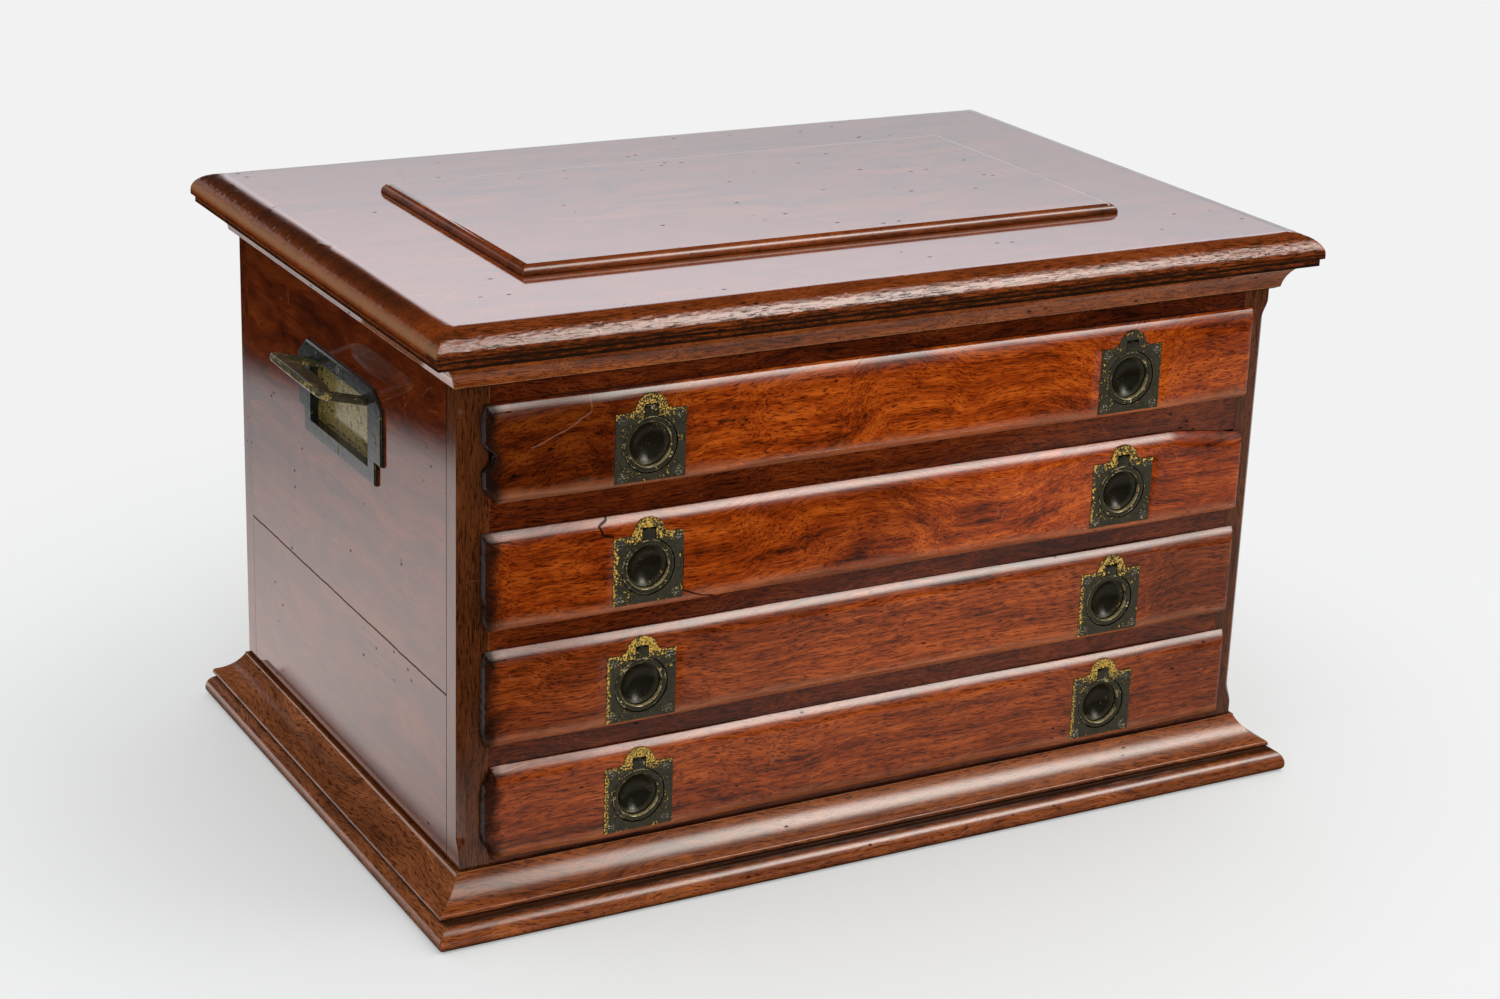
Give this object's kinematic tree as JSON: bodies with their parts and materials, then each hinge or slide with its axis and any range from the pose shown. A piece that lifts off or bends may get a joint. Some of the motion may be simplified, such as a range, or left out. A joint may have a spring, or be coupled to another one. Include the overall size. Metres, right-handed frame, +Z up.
{
  "type": "table chest of drawers with hinged top",
  "caption": "Low mahogany table chest: shallow lipped drawers with flush brass ring pulls, a hinged moulded top over a well, side bail handles and a moulded plinth.",
  "frame": {"origin": "centre of the resting face, on the floor", "axes": "+Z up, the drawers open towards -Y, +X is to the right seen from the front"},
  "size_m": [0.437, 0.2964, 0.2627],
  "materials": {
    "top_mahogany": "worn french polish, glossy",
    "case_mahogany": "worn french polish, glossy",
    "front_mahogany": "figured, worn french polish",
    "moulding_mahogany": "worn french polish, rubbed edges",
    "lining_wood": "unpolished, aged",
    "pull_brass": "dark patina with gold rubbed edges",
    "handle_brass": "patinated, yellow where sheltered",
    "hinge_brass": "dull, aged",
    "screw_brass": "darkened"
  },
  "bodies": {
    "carcass": {"side_left_upper": "case_mahogany", "side_left_lower": "case_mahogany", "side_right_upper": "case_mahogany", "side_right_lower": "case_mahogany", "stile_left": "case_mahogany", "stile_right": "case_mahogany", "back_panel": "case_mahogany", "front_rails": "case_mahogany", "drawer_runners": "lining_wood", "bottom_board": "lining_wood", "well_floor": "lining_wood", "base_front": "moulding_mahogany", "base_back": "moulding_mahogany", "base_sides": "moulding_mahogany", "plinth_moulding_front": "moulding_mahogany", "plinth_moulding_back": "moulding_mahogany", "plinth_moulding_sides": "moulding_mahogany", "handle_plate_left": "handle_brass", "handle_plate_right": "handle_brass", "handle_screws": "screw_brass", "hinge_leaves_lower": "hinge_brass", "hinge_pins": "hinge_brass", "hinge_screws_lower": "screw_brass"},
    "lid": {"top_board": "top_mahogany", "raised_panel": "top_mahogany", "cornice_front": "moulding_mahogany", "cornice_back": "moulding_mahogany", "cornice_sides": "moulding_mahogany", "hinge_leaves_upper": "hinge_brass", "hinge_screws_upper": "screw_brass"},
    "drawer_1": {"drawer_1_front": "front_mahogany", "drawer_1_box": "lining_wood", "drawer_1_bottom": "lining_wood", "drawer_1_pull_plates": "pull_brass", "drawer_1_pull_screws": "screw_brass"},
    "drawer_2": {"drawer_2_front": "front_mahogany", "drawer_2_box": "lining_wood", "drawer_2_bottom": "lining_wood", "drawer_2_pull_plates": "pull_brass", "drawer_2_pull_screws": "screw_brass"},
    "drawer_3": {"drawer_3_front": "front_mahogany", "drawer_3_box": "lining_wood", "drawer_3_bottom": "lining_wood", "drawer_3_pull_plates": "pull_brass", "drawer_3_pull_screws": "screw_brass"},
    "drawer_4": {"drawer_4_front": "front_mahogany", "drawer_4_box": "lining_wood", "drawer_4_bottom": "lining_wood", "drawer_4_pull_plates": "pull_brass", "drawer_4_pull_screws": "screw_brass"},
    "drawer_1_ring_left": {"drawer_1_ring_left": "pull_brass"},
    "drawer_1_ring_right": {"drawer_1_ring_right": "pull_brass"},
    "drawer_2_ring_left": {"drawer_2_ring_left": "pull_brass"},
    "drawer_2_ring_right": {"drawer_2_ring_right": "pull_brass"},
    "drawer_3_ring_left": {"drawer_3_ring_left": "pull_brass"},
    "drawer_3_ring_right": {"drawer_3_ring_right": "pull_brass"},
    "drawer_4_ring_left": {"drawer_4_ring_left": "pull_brass"},
    "drawer_4_ring_right": {"drawer_4_ring_right": "pull_brass"},
    "bail_left": {"bail_left": "handle_brass"},
    "bail_right": {"bail_right": "handle_brass"}
  },
  "joints": [
    {"name": "lid_hinge", "type": "hinge", "parent": "carcass", "child": "lid", "pos_m": [0, 0.13255, 0.23155], "axis": [-1, 0, 0], "range_deg": [0, 130]},
    {"name": "drawer_1_slide", "type": "slide", "parent": "carcass", "child": "drawer_1", "axis": [0, -1, 0], "range_m": [0, 0.19]},
    {"name": "drawer_2_slide", "type": "slide", "parent": "carcass", "child": "drawer_2", "axis": [0, -1, 0], "range_m": [0, 0.19]},
    {"name": "drawer_3_slide", "type": "slide", "parent": "carcass", "child": "drawer_3", "axis": [0, -1, 0], "range_m": [0, 0.19]},
    {"name": "drawer_4_slide", "type": "slide", "parent": "carcass", "child": "drawer_4", "axis": [0, -1, 0], "range_m": [0, 0.19]},
    {"name": "drawer_1_ring_left_pivot", "type": "hinge", "parent": "drawer_1", "child": "drawer_1_ring_left", "pos_m": [-0.11515, -0.12845, 0.2153], "axis": [-1, 0, 0], "range_deg": [0, 95]},
    {"name": "drawer_1_ring_right_pivot", "type": "hinge", "parent": "drawer_1", "child": "drawer_1_ring_right", "pos_m": [0.12055, -0.12845, 0.2153], "axis": [-1, 0, 0], "range_deg": [0, 95]},
    {"name": "drawer_2_ring_left_pivot", "type": "hinge", "parent": "drawer_2", "child": "drawer_2_ring_left", "pos_m": [-0.11495, -0.12845, 0.1623], "axis": [-1, 0, 0], "range_deg": [0, 95]},
    {"name": "drawer_2_ring_right_pivot", "type": "hinge", "parent": "drawer_2", "child": "drawer_2_ring_right", "pos_m": [0.12075, -0.12845, 0.1623], "axis": [-1, 0, 0], "range_deg": [0, 95]},
    {"name": "drawer_3_ring_left_pivot", "type": "hinge", "parent": "drawer_3", "child": "drawer_3_ring_left", "pos_m": [-0.11695, -0.12845, 0.1104], "axis": [-1, 0, 0], "range_deg": [0, 95]},
    {"name": "drawer_3_ring_right_pivot", "type": "hinge", "parent": "drawer_3", "child": "drawer_3_ring_right", "pos_m": [0.11875, -0.12845, 0.1104], "axis": [-1, 0, 0], "range_deg": [0, 95]},
    {"name": "drawer_4_ring_left_pivot", "type": "hinge", "parent": "drawer_4", "child": "drawer_4_ring_left", "pos_m": [-0.11705, -0.12845, 0.06], "axis": [-1, 0, 0], "range_deg": [0, 95]},
    {"name": "drawer_4_ring_right_pivot", "type": "hinge", "parent": "drawer_4", "child": "drawer_4_ring_right", "pos_m": [0.11865, -0.12845, 0.06], "axis": [-1, 0, 0], "range_deg": [0, 95]},
    {"name": "bail_left_pivot", "type": "hinge", "parent": "carcass", "child": "bail_left", "pos_m": [-0.197, 0.00245, 0.1975], "axis": [0, 1, 0], "range_deg": [-104, 0]},
    {"name": "bail_right_pivot", "type": "hinge", "parent": "carcass", "child": "bail_right", "pos_m": [0.197, 0.00245, 0.1975], "axis": [0, -1, 0], "range_deg": [-104, 0]}
  ]
}
